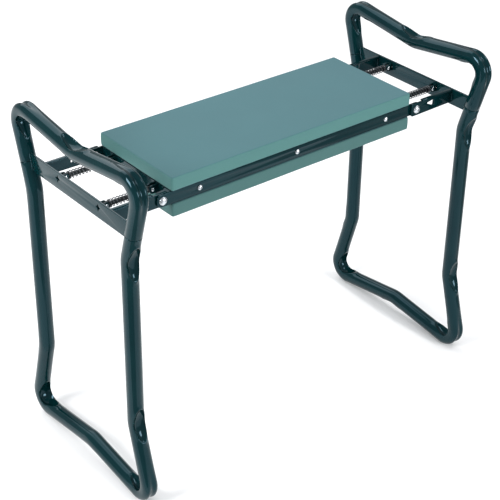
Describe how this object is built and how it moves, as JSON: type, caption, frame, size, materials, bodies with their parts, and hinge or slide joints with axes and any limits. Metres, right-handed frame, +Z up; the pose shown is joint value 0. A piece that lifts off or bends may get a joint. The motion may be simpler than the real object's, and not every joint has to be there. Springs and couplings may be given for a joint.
{
  "type": "folding garden kneeler seat",
  "caption": "Folding garden kneeler and stool: padded board hinged between two looped tube frames that fold flat, with sprung stay struts at each end.",
  "frame": {"origin": "on the ground under the middle of the kneeler, stood as a seat", "axes": "+X along the seat from the left leg loop to the right, +Y from the front to the back, +Z up"},
  "size_m": [0.6, 0.2894, 0.494],
  "materials": {
    "frame_paint": "gloss",
    "pad_foam": "matte",
    "board": "matte",
    "zinc_steel": "satin",
    "spring_steel": "satin",
    "dark_steel": "satin"
  },
  "bodies": {
    "seat": {"upper_pad": "pad_foam", "lower_pad": "pad_foam", "seat_board": "board", "front_rail": "frame_paint", "front_left_rail_screw": "zinc_steel", "front_middle_rail_screw": "zinc_steel", "front_right_rail_screw": "zinc_steel", "back_rail": "frame_paint", "back_left_rail_screw": "zinc_steel", "back_middle_rail_screw": "zinc_steel", "back_right_rail_screw": "zinc_steel", "left_end_plate": "frame_paint", "left_front_hinge_bolt": "zinc_steel", "left_front_hinge_nut": "zinc_steel", "left_front_strut_pin": "zinc_steel", "left_back_hinge_bolt": "zinc_steel", "left_back_hinge_nut": "zinc_steel", "left_back_strut_pin": "zinc_steel", "right_end_plate": "frame_paint", "right_front_hinge_bolt": "zinc_steel", "right_front_hinge_nut": "zinc_steel", "right_front_strut_pin": "zinc_steel", "right_back_hinge_bolt": "zinc_steel", "right_back_hinge_nut": "zinc_steel", "right_back_strut_pin": "zinc_steel"},
    "left_front_strut": {"left_front_strut": "dark_steel", "left_front_spring": "spring_steel"},
    "left_back_strut": {"left_back_strut": "dark_steel", "left_back_spring": "spring_steel"},
    "left_leg": {"left_handle_tube": "frame_paint", "left_leg_tube": "frame_paint", "left_crossbar": "frame_paint", "left_front_arm": "frame_paint", "left_front_clevis": "frame_paint", "left_front_strut_rivet": "zinc_steel", "left_back_arm": "frame_paint", "left_back_clevis": "frame_paint", "left_back_strut_rivet": "zinc_steel"},
    "right_front_strut": {"right_front_strut": "dark_steel", "right_front_spring": "spring_steel"},
    "right_back_strut": {"right_back_strut": "dark_steel", "right_back_spring": "spring_steel"},
    "right_leg": {"right_handle_tube": "frame_paint", "right_leg_tube": "frame_paint", "right_crossbar": "frame_paint", "right_front_arm": "frame_paint", "right_front_clevis": "frame_paint", "right_front_strut_rivet": "zinc_steel", "right_back_arm": "frame_paint", "right_back_clevis": "frame_paint", "right_back_strut_rivet": "zinc_steel"}
  },
  "joints": [
    {"name": "left_leg_fold", "type": "hinge", "parent": "seat", "child": "left_leg", "pos_m": [-0.2165, 0, 0.4115], "axis": [0, -1, 0], "range_deg": [0, 94.5], "deforming": ["left_front_spring", "left_back_spring"]},
    {"name": "right_leg_fold", "type": "hinge", "parent": "seat", "child": "right_leg", "pos_m": [0.2165, 0, 0.4115], "axis": [0, 1, 0], "range_deg": [0, 86.5], "deforming": ["right_front_spring", "right_back_spring"]},
    {"name": "left_front_strut_swing", "type": "hinge", "parent": "left_leg", "child": "left_front_strut", "pos_m": [-0.2807, -0.046, 0.4135], "axis": [0, -1, 0], "range_deg": [-6.6, 0]},
    {"name": "left_back_strut_swing", "type": "hinge", "parent": "left_leg", "child": "left_back_strut", "pos_m": [-0.2807, 0.046, 0.4135], "axis": [0, -1, 0], "range_deg": [-6.6, 0]},
    {"name": "right_front_strut_swing", "type": "hinge", "parent": "right_leg", "child": "right_front_strut", "pos_m": [0.2807, -0.046, 0.4135], "axis": [0, 1, 0], "range_deg": [-6.6, 0]},
    {"name": "right_back_strut_swing", "type": "hinge", "parent": "right_leg", "child": "right_back_strut", "pos_m": [0.2807, 0.046, 0.4135], "axis": [0, 1, 0], "range_deg": [-6.6, 0]}
  ],
  "couplings": [
    {"joint": "left_front_strut_swing", "follows": "left_leg_fold", "ratio": -0.067},
    {"joint": "left_back_strut_swing", "follows": "left_leg_fold", "ratio": -0.067},
    {"joint": "right_front_strut_swing", "follows": "right_leg_fold", "ratio": -0.067},
    {"joint": "right_back_strut_swing", "follows": "right_leg_fold", "ratio": -0.067}
  ]
}
